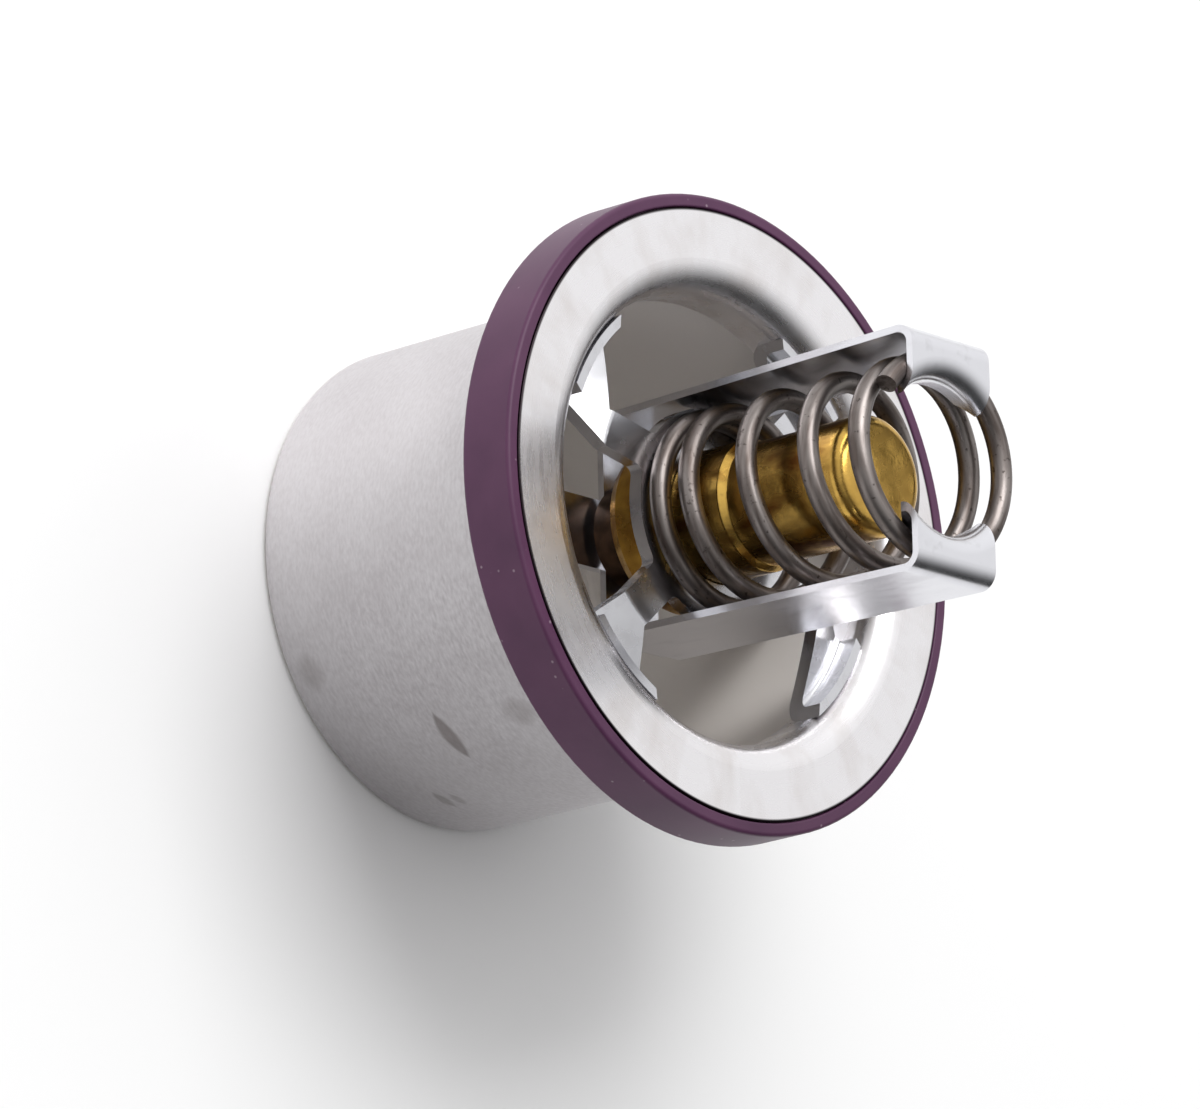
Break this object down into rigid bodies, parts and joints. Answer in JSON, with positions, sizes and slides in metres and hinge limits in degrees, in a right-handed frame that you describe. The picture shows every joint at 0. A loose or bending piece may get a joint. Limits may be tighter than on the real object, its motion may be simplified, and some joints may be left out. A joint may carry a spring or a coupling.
{
  "type": "engine thermostat",
  "caption": "Sleeve-valve engine thermostat: a rubber-sealed flange, a wax capsule on a spider, and a steel sleeve on a hooked stirrup held closed by a coil spring.",
  "frame": {"origin": "centre of the sleeve's open lower end, on which the part stands", "axes": "+Z along the thermostat's axis from the sleeve towards the spring hooks, +X and -X through the two arms of the stirrup"},
  "size_m": [0.088, 0.088, 0.0945],
  "materials": {
    "sleeve_steel": "fine drawn grain",
    "stirrup_steel": "polished",
    "bridge_steel": "satin",
    "seat_metal": "dark, turned",
    "piston_steel": "ground",
    "flange_steel": "satin",
    "seal_rubber": "moulded, matt",
    "spider_steel": "polished",
    "guide_brass": "turned",
    "capsule_brass": "drawn",
    "diaphragm_rubber": "matt",
    "wax": "cast",
    "spring_wire": "drawn wire"
  },
  "bodies": {
    "valve": {"sleeve": "sleeve_steel", "stirrup": "stirrup_steel", "bridge": "bridge_steel", "piston_seat": "seat_metal", "piston": "piston_steel", "return_spring": "spring_wire"},
    "carrier": {"flange": "flange_steel", "rim_seal": "seal_rubber", "spider": "spider_steel", "guide_collar": "guide_brass", "wax_cup": "capsule_brass", "diaphragm": "diaphragm_rubber", "wax_pellet": "wax"}
  },
  "joints": [
    {"name": "valve_lift", "type": "slide", "parent": "valve", "child": "carrier", "axis": [0, 0, 1], "range_m": [0, 0.0105], "stiffness_N_per_m": 11000, "springref_m": -0.004, "deforming": ["return_spring"]}
  ]
}
